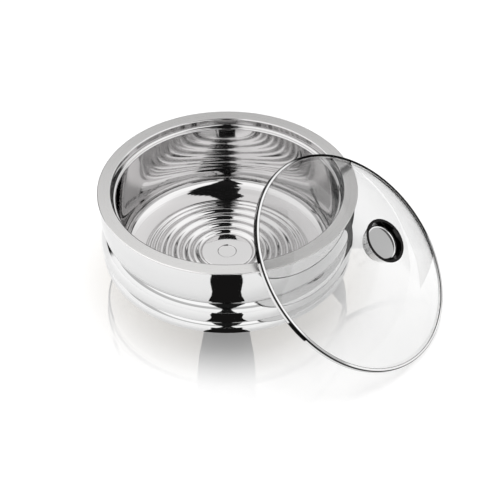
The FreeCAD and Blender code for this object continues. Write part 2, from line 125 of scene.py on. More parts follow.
def turned(name, loop, material, segments=384, place=None):
    # surface of revolution: each radius and height of a closed loop goes round the axis, to radius
    # times the angle's cosine and sine and that height; a spot on the axis stays a single point
    loop = loop[np.r_[True, np.linalg.norm(np.diff(loop, axis=0), axis=1) > tiny]]
    if np.linalg.norm(loop[0] - loop[-1]) < tiny:
        loop = loop[:-1]
    following = np.roll(loop, -1, axis=0)
    if np.sum(loop[:, 0] * following[:, 1] - following[:, 0] * loop[:, 1]) < 0:
        loop = loop[::-1]  # this way round the faces point outwards
    onAxis = loop[:, 0] < tiny
    first = np.concatenate([[0], np.cumsum(np.where(onAxis, 1, segments))])
    owner = np.repeat(np.arange(len(loop)), np.diff(first))
    angle = (np.arange(first[-1]) - first[owner]) * (2 * math.pi / segments)
    radius, height = loop[owner].T
    points = np.stack([radius * np.cos(angle), radius * np.sin(angle), height], axis=1)
    if place is not None:
        points = points @ place[0].T + place[1]

    # strips between one ring and the next: four-sided, or three-sided at the axis
    step = np.arange(segments)
    after, still = (step + 1) % segments, 0 * step
    here, endOnAxis = first[:-1, None], np.roll(onAxis, -1)
    there = np.roll(here, -1, axis=0)
    strips = [
        (~onAxis & ~endOnAxis, (here + step, here + after, there + after, there + step)),
        (onAxis & ~endOnAxis, (here + still, there + after, there + step)),
        (~onAxis & endOnAxis, (here + step, here + after, there + still)),
    ]
    faces = []
    for chosen, corners in strips:
        faces += np.stack(corners, axis=2)[chosen].reshape(-1, len(corners)).tolist()
    mesh = bpy.data.meshes.new(name)
    mesh.from_pydata(points * mm, [], faces)
    mesh.polygons.foreach_set("use_smooth", np.ones(len(mesh.polygons), bool))
    mesh.materials.append(material)
    piece = bpy.data.objects.new(name, mesh)
    bpy.context.scene.collection.objects.link(piece)
    return piece


def linearColour(code):
    # sRGB hex to linear RGBA
    values = np.array([int(code[i : i + 2], 16) for i in (1, 3, 5)]) / 255
    values = np.where(values <= 0.04045, values / 12.92, ((values + 0.055) / 1.055) ** 2.4)
    return (*values, 1.0)


def newMaterial(name):
    material = bpy.data.materials.new(name)
    material.use_nodes = True
    material.node_tree.nodes.clear()
    return material, material.node_tree


def addNode(tree, kind, inputs=None, stops=(), **settings):
    # each input is a value, a socket, or a node whose first output is linked; stops are the places
    # and colours of a ramp
    node = tree.nodes.new(kind)
    for key, value in settings.items():
        setattr(node, key, value)
    for key, value in (inputs or {}).items():
        if isinstance(value, bpy.types.Node):
            value = value.outputs[0]
        if isinstance(value, bpy.types.NodeSocket):
            tree.links.new(value, node.inputs[key])
        else:
            node.inputs[key].default_value = value
    if stops:
        elements = node.color_ramp.elements
        elements.remove(elements[1])
        elements[0].position, elements[0].color = stops[0]
        for place, colour in stops[1:]:
            elements.new(place).color = colour
    return node


def radialCoordinate(tree, place=None):
    # distance from the piece's own axis and height along it
    source = addNode(tree, "ShaderNodeTexCoord").outputs["Object"]
    if place:
        source = addNode(tree, "ShaderNodeMapping", {"Vector": source, **place}, vector_type="TEXTURE")
    parts = addNode(tree, "ShaderNodeSeparateXYZ", {"Vector": source}).outputs
    flat = addNode(tree, "ShaderNodeCombineXYZ", {"X": parts["X"], "Y": parts["Y"]})
    radius = addNode(tree, "ShaderNodeVectorMath", {0: flat}, operation="LENGTH")
    return source, radius.outputs["Value"], parts["Z"]


def steel(name, colour, roughness, marks, waves, place=None, paintedLight=None):
    # stainless steel: fine polishing marks round the axis vary the gloss, and slow waves of the
    # pressed sheet bend what it reflects; roughness comes with its spread, marks and waves are a
    # size and a depth in mm; the noise lies mostly between 0.3 and 0.7
    material, tree = newMaterial(name)
    source, radius, height = radialCoordinate(tree, place)
    along = addNode(tree, "ShaderNodeCombineXYZ", {"X": radius, "Z": height})
    settings = {"Vector": along, "Scale": 1 / (marks[0] * mm), "Detail": 3.0, "Roughness": 0.6}
    line = addNode(tree, "ShaderNodeTexNoise", settings).outputs["Fac"]
    settings = {"Vector": source, "Scale": 1 / (waves[0] * mm), "Detail": 1.0}
    wave = addNode(tree, "ShaderNodeTexNoise", settings).outputs["Fac"]
    middle, spread = roughness
    settings = {"From Min": 0.3, "From Max": 0.7, "To Min": middle - spread, "To Max": middle + spread}
    gloss = addNode(tree, "ShaderNodeMapRange", {"Value": line, **settings})
    fine = addNode(tree, "ShaderNodeBump", {"Height": line, "Strength": 1.0, "Distance": marks[1] * mm})
    settings = {"Height": wave, "Normal": fine, "Strength": 1.0, "Distance": waves[1] * mm}
    slow = addNode(tree, "ShaderNodeBump", settings)
    # a painter, where given, paints shade and dark reflections into the tone
    tone = paintedLight(tree, colour, radius, height) if paintedLight else linearColour(colour)
    settings = {"Base Color": tone, "Metallic": 1.0, "Roughness": gloss, "Normal": slow}
    shader = addNode(tree, "ShaderNodeBsdfPrincipled", settings)
    addNode(tree, "ShaderNodeOutputMaterial", {"Surface": shader})
    return material


def moulded(name, colour, other, roughness, transmission, grainSize):
    # moulded rubber, silicone or foam: matt skin with a fine grain from the mould, in two close tones
    material, tree = newMaterial(name)
    source = addNode(tree, "ShaderNodeTexCoord").outputs["Object"]
    settings = {"Vector": source, "Scale": 1 / (grainSize * mm), "Detail": 4.0}
    grain = addNode(tree, "ShaderNodeTexNoise", settings).outputs["Fac"]
    stops = [(0, linearColour(colour)), (1, linearColour(other))]
    tone = addNode(tree, "ShaderNodeValToRGB", {"Fac": grain}, stops)
    bump = addNode(tree, "ShaderNodeBump", {"Height": grain, "Strength": 0.5, "Distance": 0.05 * mm})
    settings = {"Roughness": roughness, "Transmission Weight": transmission, "IOR": 1.41}
    shader = addNode(
        tree, "ShaderNodeBsdfPrincipled", {"Base Color": tone, "Normal": bump, **settings}
    )
    addNode(tree, "ShaderNodeOutputMaterial", {"Surface": shader})
    return material


# inner bowl: rim, recess for the lid, wall and ribbed floor
innerBowl = {
    "rimRadius": 115.0,
    "rimHeight": 98.0,
    "sheet": 0.6,
    "hemInner": 112.8,  # folded edge under the rim
    "hemDrop": 1.9,
    "edgeRound": 0.9,
    "recessRadius": 102.4,
    "recessBend": 1.2,
    "recessCorner": 2.2,
    "ledgeHeight": 90.0,
    "ledgeBend": 1.0,
    "wallRadius": 98.5,
    "floorHeight": 21.506,
    "slopeStart": 76.9,  # the floor's outer band rises from here
    "slope": 22.0,  # degrees
    "slopeFlat": 0.5,
    "floorCorner": 12.0,
    "hiddenBends": (0.4, 0.6),  # on the foam's side, under the ledge and under the rim
    "satinDepth": 0.5,  # faces this close to the rim's top are satin
}
ribs = {
    "dimpleRadius": 9.0,
    "dimpleSide": 1.2,
    "dimpleDepth": 0.9,
    "discFlat": 22.6,
    "discRise": 1.2,
    "firstValley": 25.0,
    "pitch": 10.15,
    "count": 4,
    "height": 2.0,
    "edgeValley": 70.4,
    "edgeWidth": 4.9,
    "edgeHeight": 1.1,
    "edgeSide": 1.4,
}
# the inside is polished, so it gives a clear image that waves a little; the rim is satin, so it gives
# a soft pale sheen without an image
insideSteel = steel("polishedInsideSteel", "#DAD9D9", (0.05, 0.015), (0.7, 0.0004), (30, 0.012))
satinSteel = steel("satinRimSteel", "#F2F1F0", (0.30, 0.04), (0.5, 0.004), (40, 0.004))


def rise(start, end, steps=9):
    # two equal arcs, flat at both ends: the first climbs by radius less the root of radius squared
    # less distance squared, and the second is the first turned half round
    start, end = np.array(start, float), np.array(end, float)
    if abs(end[1] - start[1]) < tiny:
        return end[None, :]
    run, lift = (end - start) / 2
    radius = (run**2 + lift**2) / (2 * abs(lift))
    along = np.linspace(0, 1, steps) * run
    climb = math.copysign(1, lift) * (radius - np.sqrt(radius**2 - along**2))
    arc = np.stack([along, climb], axis=1)
    return np.concatenate([start + arc[1:], end - arc[-2::-1]])


def floorPath():
    # dimple, raised disc, even ribs and two lower ribs at the edge
    floor, edge = innerBowl["floorHeight"], ribs["edgeValley"]
    disc = floor + ribs["discRise"]
    dimple, lowRib = disc - ribs["dimpleDepth"], floor + ribs["edgeHeight"]
    spots = [(0.0, dimple), (ribs["dimpleRadius"] - ribs["dimpleSide"], dimple)]
    spots += [(ribs["dimpleRadius"], disc), (ribs["discFlat"], disc), (ribs["firstValley"], floor)]
    for rib in range(ribs["count"]):
        low = ribs["firstValley"] + rib * ribs["pitch"]
        spots += [(low + ribs["pitch"] / 2, floor + ribs["height"]), (low + ribs["pitch"], floor)]
    spots += [((spots[-1][0] + edge) / 2, lowRib), (edge, floor)]
    spots += [(edge + ribs["edgeWidth"] / 2, lowRib), (edge + ribs["edgeWidth"] + ribs["edgeSide"], floor)]
    rises = [rise(start, end) for start, end in zip(spots, spots[1:])]
    return np.concatenate([np.array(spots[:1], float), *rises])


def makeInnerBowl():
    top, sheet, hem = (innerBowl[key] for key in ("rimHeight", "sheet", "hemInner"))
    rim, recess, wall = (innerBowl[key] for key in ("rimRadius", "recessRadius", "wallRadius"))
    ledge, level, corner = (innerBowl[key] for key in ("ledgeHeight", "floorHeight", "floorCorner"))
    hemHeight = top - innerBowl["hemDrop"]
    ledgeUnder, rimUnder = innerBowl["hiddenBends"]
    floor = floorPath()
    edge = floor[-1, 0]
    # the soft bend at the floor takes the room that the straight part and the wall's bend leave
    slope = math.radians(innerBowl["slope"])
    taken = innerBowl["slopeFlat"] * math.cos(slope) + corner * (1 - math.sin(slope))
    slopeBend = (wall - innerBowl["slopeStart"] - taken) / math.sin(slope)
    slopeRadius = innerBowl["slopeStart"] + slopeBend * math.tan(slope / 2)
    slopeTop = level + (wall - slopeRadius) * math.tan(slope)
    seen = roundedPath(
        [
            (hem, hemHeight, 0),
            (rim, hemHeight, innerBowl["edgeRound"]),
            (rim, top, innerBowl["edgeRound"]),
            (recess, top, innerBowl["recessBend"]),
            (recess, ledge, innerBowl["recessCorner"]),
            (wall, ledge, innerBowl["ledgeBend"]),
            (wall, slopeTop, corner),
            (slopeRadius, level, slopeBend),
            (edge, level, 0),
        ],
        steps=40,
    )
    hidden = roundedPath(
        [
            (edge, level - sheet, 0),
            (slopeRadius + sheet * math.tan(slope / 2), level - sheet, slopeBend + sheet),
            (wall + sheet, slopeTop - sheet * math.tan(math.pi / 4 - slope / 2), corner + sheet),
            (wall + sheet, ledge - sheet, ledgeUnder),
            (recess + sheet, ledge - sheet, innerBowl["recessCorner"] + sheet),
            (recess + sheet, top - sheet, rimUnder),
            (hem, top - sheet, 0),
        ],
        steps=4,
    )
    under = floor - [0, sheet]
    loop = np.concatenate([heldRuns(seen), floor[::-1][1:], under[::4], under[-1:], hidden[1:]])
    piece = turned("bowlInside", loop, insideSteel)
    piece.data.materials.append(satinSteel)
    centres = np.empty(len(piece.data.polygons) * 3)
    piece.data.polygons.foreach_get("center", centres)
    x, y, z = centres.reshape(-1, 3).T / mm
    onRim = (np.hypot(x, y) > recess + innerBowl["recessBend"]) & (z > top - innerBowl["satinDepth"])
    piece.data.polygons.foreach_set("material_index", onRim.astype(np.int32))
    return piece


# outer shell: upper tier, two beads, straight taper to the foot
outerShell = {
    "sheet": 0.7,
    "neck": (110.3, 97.4),
    "belly": (113.5, 79.0),
    "bellyBend": 5.0,  # tuck into the crease below
    "upperCrease": (107.7, 58.6),
    "beadRadius": 114.2,
    "beadRound": 16.0,
    "beadBend": 5.0,
    "lowerCrease": (107.2, 38.8),
    "skirtRound": 28.0,  # face of the lowest bead
    "shoulder": (112.8, 30.7),  # widest point of the bend below it
    "shoulderRound": 7.0,
    "creaseRound": 0.6,
    "footRadius": 76.0,
    "footRound": 3.0,
    "plateOpening": 70.2,
    "lap": 6.0,  # inner flange over the base plate
    "lapClear": 0.5,  # the inner skin stops this far outside the flange
    "steps": {"face": 40, "bend": 30, "crease": 12},  # points of each arc
}
# painted shade along the shell's creases: its tone and where it lies
creaseShadeLook = {
    "paintedShade": "#8A8988",
    "lower": (-0.7, -0.3),  # where the painted crease shade begins and is full, from the crease
    "upper": (0.4, 1.0),
    "span": 100.0,  # height that the ramp covers
}


def paintedCreaseShade(tree, colour, radius, height):
    # painted shade: a thin dark grey line is painted along the bottom of each crease, where shade falls
    bright, paintedShade = linearColour(colour), linearColour(creaseShadeLook["paintedShade"])
    stops = [(0, bright)]
    for key in ("lowerCrease", "upperCrease"):
        offsets = zip((*creaseShadeLook["lower"], *creaseShadeLook["upper"]), (bright, paintedShade, paintedShade, bright))
        stops += [((outerShell[key][1] + offset) / creaseShadeLook["span"], tone) for offset, tone in offsets]
    stops.append((1, bright))
    share = addNode(
        tree, "ShaderNodeMath", {0: height, 1: 1 / (creaseShadeLook["span"] * mm)}, operation="MULTIPLY"
    )
    return addNode(tree, "ShaderNodeValToRGB", {"Fac": share}, stops).outputs["Color"]


# buffed to a mirror: a sharp image of the white tent and of its black opening, with painted shade lines
# along the creases
mirrorSteel = steel(
    "mirrorPolishedSteel", "#DCDCDC", (0.045, 0.015), (0.9, 0.0002), (38, 0.010), paintedLight=paintedCreaseShade
)


def makeOuterShell():
    sheet, opening, steps = outerShell["sheet"], outerShell["plateOpening"], outerShell["steps"]
    neck, belly, upperCrease, lowerCrease, shoulder = (
        np.array(outerShell[key]) for key in ("neck", "belly", "upperCrease", "lowerCrease", "shoulder")
    )
    beadRound, skirtRound = outerShell["beadRound"], outerShell["skirtRound"]
    bellyBend, beadBend, shoulderRound = (
        outerShell[key] for key in ("bellyBend", "beadBend", "shoulderRound")
    )
    # centres of the three faces, of the bend that ends each one, and of the creases between them
    mirrored = (neck[0], 2 * belly[1] - neck[1])
    tier, tierRound = circleThrough(neck, belly, mirrored)
    beadX = outerShell["beadRadius"] - beadRound
    bead = np.array([beadX, upperCrease[1] - math.sqrt(beadRound**2 - (upperCrease[0] - beadX) ** 2)])
    shoulder = shoulder - [shoulderRound, 0]
    skirt = circleCrossings(lowerCrease, skirtRound, shoulder, skirtRound - shoulderRound)[0]
    faces = [(tier, tierRound), (bead, beadRound), (skirt, skirtRound)]
    bends = [
        (circleCrossings(upperCrease, bellyBend, tier, tierRound - bellyBend)[1], bellyBend),
        (circleCrossings(lowerCrease, beadBend, bead, beadRound - beadBend)[1], beadBend),
        (shoulder, shoulderRound),
    ]
    creaseRound = outerShell["creaseRound"]
    creases = [
        circleCrossings(above[0], above[1] + creaseRound, below[0], below[1] + creaseRound)[1]
        for above, below in zip(bends, faces[1:])
    ]

    def skin(inset, bottom):
        # outline from the neck down to the foot, moved inwards by the inset
        drop = neck[1] - tier[1]
        here = np.array([tier[0] + math.sqrt((tierRound - inset) ** 2 - drop**2), neck[1]])
        parts = []
        for index, (centre, radius) in enumerate(faces):
            bendCentre, bendRadius = bends[index]
            joint = pointToward(centre, bendCentre, radius - inset)
            parts.append(arcBetween(centre, here, joint, steps["face"])[:-1])
            here = joint
            if index < len(creases):
                into = pointToward(bendCentre, creases[index], bendRadius - inset)
                out = pointToward(faces[index + 1][0], creases[index], faces[index + 1][1] - inset)
                parts.append(arcBetween(bendCentre, here, into, steps["bend"])[:-1])
                parts.append(arcBetween(creases[index], into, out, steps["crease"])[:-1])
                here = out
        # the taper leaves the last bend at a tangent
        toFoot = np.array([outerShell["footRadius"], 0]) - shoulder
        turn = math.atan2(toFoot[1], toFoot[0]) + math.acos(shoulderRound / np.linalg.norm(toFoot))
        outward = np.array([math.cos(turn), math.sin(turn)])
        leave = shoulder + outward * (shoulderRound - inset)
        parts.append(arcBetween(shoulder, here, leave, steps["bend"])[:-1])
        down = np.array([outward[1], -outward[0]])
        corner = leave + down * (bottom - leave[1]) / down[1]
        end = np.array([opening, bottom])
        foot = fillet(leave, corner, end, outerShell["footRound"] - inset, steps["crease"])
        parts.append(heldRuns(np.concatenate([leave[None, :], foot, end[None, :]])))
        return np.concatenate(parts)

    outside, inside = skin(0, 0), skin(sheet, sheet)[::-1]
    # flange at the foot that laps over the base plate
    lapTop, lapIn = 2 * sheet, opening - outerShell["lap"]
    flange = np.array([(opening, sheet), (lapIn, sheet), (lapIn, lapTop), (opening + sheet, lapTop)])
    keep = inside[:, 0] > opening + sheet + outerShell["lapClear"]
    return turned("bowlOutside", np.concatenate([outside, flange, inside[keep]]), mirrorSteel)


# lid: folded band round a pressed glass dome; it leans on the rim with its lower edge on the table
lidBand = {
    "radius": 101.4,
    "sheet": 0.45,
    "round": 1.0,
    "topLip": 98.8,
    "lowLip": 98.4,
    "topLipRound": 0.15,
    "lowLipRound": 0.1,
    "gap": 0.05,
}
lidGlass = {
    "thickness": 4.0,
    "domeRadius": 174.9,
    "curl": 1.5,  # where the dome turns flat inside the band
    "ground": 0.8,  # ground corners
    "hole": 4.0,
    "holeClear": 0.2,
    "body": "#E4E4E4",
    "shadow": "#F2F2F2",
    "waveSize": 45,
    "waveDepth": 0.02,
}
lean = {"angle": 39.1, "gap": 0.1}
bandHeight = 2 * lidBand["sheet"] + 2 * lidBand["gap"] + lidGlass["thickness"]
glassRadius = lidBand["radius"] - lidBand["sheet"] - 2 * lidBand["gap"]


def lidPlace():
    # lower edge of the band on the table, lower lip over the rim's edge
    angle = math.radians(lean["angle"])
    low = lidBand["radius"] - lidBand["round"]
    height = low * math.sin(angle) + lidBand["round"] * (1 - math.cos(angle))
    climb = (innerBowl["rimHeight"] - height) / math.sin(angle)
    aside = math.sqrt(lidBand["lowLip"] ** 2 - climb**2)
    clear = innerBowl["rimRadius"] + lean["gap"] / math.sin(angle)
    reach = math.sqrt(clear**2 - aside**2) + climb * math.cos(angle)
    turn = np.array(
        [[math.cos(angle), 0, math.sin(angle)], [0, 1, 0], [-math.sin(angle), 0, math.cos(angle)]]
    )
    return turn, np.array([reach, 0, height])


lidAt = lidPlace()
lidAxis = {"Location": tuple(lidAt[1] * mm), "Rotation": (0, math.radians(lean["angle"]), 0)}
# painted dark reflections on the band's two bends: their tone and where they lie
bandReflectionLook = {
    "dark": "#2E2D2D",
    "outerBend": (0.75, 0.55),  # distance in from the edge where the dark begins and is full
    "bendDepth": 1.6,
    "lip": 0.35,
}


def paintedBandReflections(tree, colour, radius, height):
    # painted reflection: both bends of the rolled band are painted dark, as two thin lines, for the dark
    # surroundings they reflect
    start, full = (lidBand["radius"] - distance for distance in bandReflectionLook["outerBend"])
    outer = addNode(
        tree, "ShaderNodeMapRange", {"Value": radius, "From Min": start * mm, "From Max": full * mm}
    )
    bend, lip = (bandHeight - bandReflectionLook["bendDepth"]) * mm, (lidBand["topLip"] + bandReflectionLook["lip"]) * mm
    upper = addNode(tree, "ShaderNodeMath", {0: height, 1: bend}, operation="GREATER_THAN")
    inner = addNode(tree, "ShaderNodeMath", {0: radius, 1: lip}, operation="LESS_THAN")
    outer = addNode(tree, "ShaderNodeMath", {0: outer, 1: upper}, operation="MULTIPLY")
    mask = addNode(tree, "ShaderNodeMath", {0: outer, 1: inner}, operation="MAXIMUM")
    settings = {"Factor": mask, "A": linearColour(colour), "B": linearColour(bandReflectionLook["dark"])}
    return addNode(tree, "ShaderNodeMix", settings, data_type="RGBA").outputs["Result"]


# bright rolled strip, with painted dark reflections at both bends
bandSteel = steel(
    "rolledBandSteel", "#DCDCDC", (0.05, 0.015), (0.9, 0.0002), (20, 0.004), lidAxis, paintedBandReflections
)


def clearGlass(name):
    # toughened soda-lime glass, pressed to a dome: clear with a faint grey body, gently wavy
    material, tree = newMaterial(name)
    source = addNode(tree, "ShaderNodeTexCoord").outputs["Object"]
    settings = {"Vector": source, "Scale": 1 / (lidGlass["waveSize"] * mm)}
    wave = addNode(tree, "ShaderNodeTexNoise", settings).outputs["Fac"]
    depth = lidGlass["waveDepth"] * mm
    bump = addNode(tree, "ShaderNodeBump", {"Height": wave, "Strength": 1.0, "Distance": depth})
    settings = {"Base Color": linearColour(lidGlass["body"]), "Roughness": 0.0, "IOR": 1.5}
    shader = addNode(
        tree, "ShaderNodeBsdfPrincipled", {"Normal": bump, "Transmission Weight": 1.0, **settings}
    )
    # it lets light through to what lies under it
    through = addNode(tree, "ShaderNodeBsdfTransparent", {"Color": linearColour(lidGlass["shadow"])})
    shadowRay = addNode(tree, "ShaderNodeLightPath").outputs["Is Shadow Ray"]
    mixed = addNode(tree, "ShaderNodeMixShader", {0: shadowRay, 1: shader, 2: through})
    addNode(tree, "ShaderNodeOutputMaterial", {"Surface": mixed})
    return material


glassMaterial = clearGlass("toughenedGlass")


def domeFace(over, count=70):
    # sphere cap that turns flat on a small reversed curl; over is the distance from the outer face
    edgeTop = lidBand["sheet"] + lidBand["gap"] + lidGlass["thickness"]
    flat, curl, radius = glassRadius - lidGlass["ground"], lidGlass["curl"], lidGlass["domeRadius"]
    curlCentre = np.array([flat, edgeTop + curl])
    centre = np.array([0, curlCentre[1] - math.sqrt((radius + curl) ** 2 - flat**2)])
    tangent = pointToward(centre, curlCentre, radius + over)
    top, edge = centre + [0, radius + over], curlCentre - [0, curl - over]
    cap = arcBetween(centre, top, tangent, count)
    return np.concatenate([cap, arcBetween(curlCentre, tangent, edge, 8)[1:]])


def domeHeight(radius, over=0.0):
    return float(np.interp(radius, *domeFace(over, 400).T))


def makeLidGlass():
    hole, ground = lidGlass["hole"], lidGlass["ground"] * 0.999  # just short of the flat's end
    sides = []
    for face in (domeFace(0), domeFace(-lidGlass["thickness"])):
        start = np.array([[hole, np.interp(hole, *face.T)]])
        sides.append(np.concatenate([start, face[face[:, 0] > hole + lidGlass["holeClear"]]]))
    upper, lower = sides
    edge = roundedPath(
        [
            (*upper[-1], 0),
            (glassRadius, upper[-1, 1], ground),
            (glassRadius, lower[-1, 1], ground),
            (*lower[-1], 0),
        ],
        steps=8,
    )
    loop = np.concatenate([upper[:-1], edge, lower[::-1][1:]])
    return turned("lidGlass", loop, glassMaterial, 320, lidAt)


def makeLidBand():
    radius, sheet, gap = lidBand["radius"], lidBand["sheet"], lidBand["gap"]
    topLip, lowLip, bend = lidBand["topLip"], lidBand["lowLip"], lidBand["round"]
    topRound, lowRound = lidBand["topLipRound"], lidBand["lowLipRound"]
    seat = domeFace(gap, 400)
    seat = seat[seat[:, 0] > topLip][::12]  # every twelfth point is enough where it is hidden
    outer = roundedPath(
        [
            (lowLip + lowRound, 0, 0),
            (radius, 0, bend),
            (radius, bandHeight, bend),
            (topLip, domeHeight(topLip, gap + sheet), topRound),
            (topLip, domeHeight(topLip, gap), 0),
        ],
        steps=12,
    )
    inner = roundedPath(
        [
            (radius - sheet, bandHeight - sheet, 0),
            (radius - sheet, sheet, bend - sheet),
            (lowLip, sheet, lowRound),
            (lowLip, 0, lowRound),
            (lowLip + lowRound, 0, 0),
        ],
        steps=6,
    )
    return turned("lidBand", np.concatenate([heldRuns(outer), seat, inner]), bandSteel, 384, lidAt)


# knob: flared side on a silicone cushion, closed by a recessed dish
knobSide = {
    "topRadius": 19.9,
    "baseRadius": 14.8,
    "height": 12.6,
    "baseRound": 2.0,
    "sheet": 0.8,
    "holeRadius": 2.5,
}
knobDish = {
    "radius": 17.6,
    "depth": 5.5,
    "sheet": 0.6,
    "corner": 1.8,
    "edge": 0.25,
    # painted shade and painted dark reflection on the dish, from this radius out
    "paintedDarkFrom": 15.1,
    "dark": "#2E2D2D",
}
knobCushion = {
    "radius": 13.6,
    "height": 1.4,
    "corner": 0.4,
    "topSink": 0.02,  # kept clear of the knob's side above it
    "draft": 0.01,
}
knobBottom = domeHeight(knobCushion["radius"]) + knobCushion["height"]
knobTop = knobBottom + knobSide["height"]
knobRim = knobTop - knobDish["sheet"]
knobSlope = (knobSide["topRadius"] - knobSide["baseRadius"]) / (knobSide["height"] - knobDish["sheet"])


def paintedDishShade(tree, colour, radius, height):
    # painted shade and painted dark reflection: the wall and rim of the dish are painted dark, which rings
    # its floor
    limit = knobDish["paintedDarkFrom"] * mm
    outside = addNode(tree, "ShaderNodeMath", {0: radius, 1: limit}, operation="GREATER_THAN")
    settings = {"Factor": outside, "A": linearColour(colour), "B": linearColour(knobDish["dark"])}
    return addNode(tree, "ShaderNodeMix", settings, data_type="RGBA").outputs["Result"]


# the knob's sheet is polished like the shell; its screw, washer and bush are turned, so they are
# greyer and blurred by fine grooves
lidSteel = steel("polishedLidSteel", "#DCDCDC", (0.05, 0.015), (0.9, 0.0002), (20, 0.004), lidAxis)
dishSteel = steel(
    "polishedDishSteel", "#DCDCDC", (0.05, 0.015), (0.9, 0.0002), (20, 0.002), lidAxis, paintedDishShade
)
turnedSteel = steel("turnedScrewSteel", "#C4C3C2", (0.22, 0.06), (0.35, 0.006), (12, 0.002), lidAxis)
siliconeMaterial = moulded(
    "mouldedSilicone", "#DCDCD8", "#CFCFCA", roughness=0.45, transmission=0.25, grainSize=0.6
)


def makeKnobSide():
    sheet, hole = knobSide["sheet"], knobSide["holeRadius"]
    top, base, bend = knobSide["topRadius"], knobSide["baseRadius"], knobSide["baseRound"]
    loop = roundedPath(
        [
            (hole, knobBottom, 0),
            (base, knobBottom, bend),
            (top, knobRim, 0),
            (top - sheet, knobRim, 0),
            (base - sheet + knobSlope * sheet, knobBottom + sheet, bend - sheet),
            (hole, knobBottom + sheet, 0),
        ]
    )
    return turned("knobSide", heldRuns(loop, hold=0.1, longest=3), lidSteel, 192, lidAt)


def makeKnobDish():
    radius, depth, sheet = knobDish["radius"], knobDish["depth"], knobDish["sheet"]
    corner, edge, floor = knobDish["corner"], knobDish["edge"], knobTop - depth
    loop = roundedPath(
        [
            (0, floor, 0),
            (radius - knobSlope * depth, floor, corner),
            (radius, knobTop, edge),
            (knobSide["topRadius"], knobTop, edge),
            (knobSide["topRadius"], knobRim, 0),
            (radius + sheet, knobRim, 0),
            (radius + sheet - knobSlope * depth, floor - sheet, corner + sheet),
            (0, floor - sheet, 0),
        ]
    )
    return turned("knobDish", heldRuns(loop, hold=0.08, longest=3), dishSteel, 192, lidAt)


def makeKnobCushion():
    outerRadius, top = knobCushion["radius"], knobBottom - knobCushion["topSink"]
    seat = domeFace(lidBand["gap"], 400).T
    radius = np.linspace(lidGlass["hole"], outerRadius, 12)
    seat = np.stack([radius, np.interp(radius, *seat)], axis=1)
    outer = roundedPath(
        [
            (*seat[-1], 0),
            (outerRadius + knobCushion["draft"], top, knobCushion["corner"]),
            (lidGlass["hole"], top, 0),
        ],
        steps=6,
    )
    return turned("knobCushion", np.concatenate([seat, outer[1:]]), siliconeMaterial, 160, lidAt)


made = [
    (makeInnerBowl, "bowl", "inner_bowl", "satin_steel"),
    (makeOuterShell, "bowl", "outer_shell", "mirror_steel"),
    (makeLidGlass, "lid", "lid_glass", "clear_glass"),
    (makeLidBand, "lid", "lid_band", "mirror_steel"),
    (makeKnobSide, "lid", "knob_skirt", "mirror_steel"),
    (makeKnobDish, "lid", "knob_dish", "mirror_steel"),
    (makeKnobCushion, "lid", "knob_cushion", "silicone"),
]
for maker, body, node, slot in made:
    piece = maker()
    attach(piece, body)
    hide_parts(node)
    print("made", piece.name, len(piece.data.polygons), "faces")

# pieces that keep their own mesh and only get a material: the plate is steel as rolled, which
# gives a blurred grey image, the foam is matt yellow and the plug nearly black rubber
plateSteel = steel("rolledPlateSteel", "#CFCDCB", (0.16, 0.05), (0.6, 0.002), (30, 0.01))
kept = {
    "insulation_foam": moulded("rigidFoam", "#E2CF9C", "#CDB67F", 0.9, transmission=0.0, grainSize=1.2),
    "base_plate": plateSteel,
    "fill_plug": moulded("mouldedRubber", "#2B2B2D", "#353537", 0.6, transmission=0.0, grainSize=0.5),
    "knob_bush": turnedSteel,
    "knob_grommet": siliconeMaterial,
    "knob_washer": turnedSteel,
    "knob_screw": turnedSteel,
}
for node, material in kept.items():
    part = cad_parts[node]
    part.data.materials.clear()
    part.data.materials.append(material)
print("materials on", len(kept), "pieces that keep their mesh")

view = {
    "azimuth": 29.75,  # degrees
    "elevation": 41.36755,
    "distance": 1200.0,
    "aside": -7.68,  # of the rim's centre, from the middle of the view
    "above": 55.84,
    "width": 500,  # of the picture; the next two are in its pixels
    "focal": 1353.6,
    "centre": (-14.56, -0.09),
    "sensor": 36.0,
}


def placed(x, y, z, at):
    # matrix whose columns are the three axes and the place
    rows = np.eye(4)
    rows[:3, :3] = np.stack([x, y, z], axis=1)
    rows[:3, 3] = at
    return Matrix(rows.tolist())


azimuth, elevation = math.radians(view["azimuth"]), math.radians(view["elevation"])
towards = np.array([math.sin(azimuth), -math.cos(azimuth)])  # on the table, from the bowl to the viewer
across = np.array([math.cos(azimuth), math.sin(azimuth)])
back = np.array([*(towards * math.cos(elevation)), math.sin(elevation)])
right = np.array([*across, 0])
up = np.cross(back, right)
eye = np.array([0, 0, innerBowl["rimHeight"]]) - view["aside"] * right - view["above"] * up
eye = (eye + view["distance"] * back) * mm
cameraData = bpy.data.cameras.new("camera")
cameraData.sensor_width = view["sensor"]
cameraData.lens = view["focal"] / view["width"] * view["sensor"]
cameraData.shift_x = -view["centre"][0] / view["width"]
cameraData.shift_y = view["centre"][1] / view["width"]
cameraData.clip_end = 50
camera = bpy.data.objects.new("camera", cameraData)
camera.matrix_world = placed(right, up, back, eye)
bpy.context.scene.collection.objects.link(camera)
bpy.context.scene.camera = camera
print("camera placed")


def flatSheet(name, outline, height, material):
    # level sheet of the surroundings
    points = np.column_stack([outline, np.full(len(outline), height)]) * mm
    mesh = bpy.data.meshes.new(name)
    mesh.from_pydata(points.tolist(), [], [list(range(len(points)))])
    mesh.materials.append(material)
    sheet = bpy.data.objects.new(name, mesh)
    bpy.context.scene.collection.objects.link(sheet)
    return sheet


tableLook = {
    "reach": 4000,
    "height": -0.2,
    "body": "#B0B0B0",
    "mirror": "#F6F1EA",
    # white that is added for camera, mirror and glass rays
    "lift": {"Is Camera Ray": 0.62, "Is Glossy Ray": 0.57, "Is Transmission Ray": 0.27},
    "nearShare": 0.6,  # mirror share beside the bowl, and further out
    "farShare": 0.05,
    "fade": (84, 158),
}


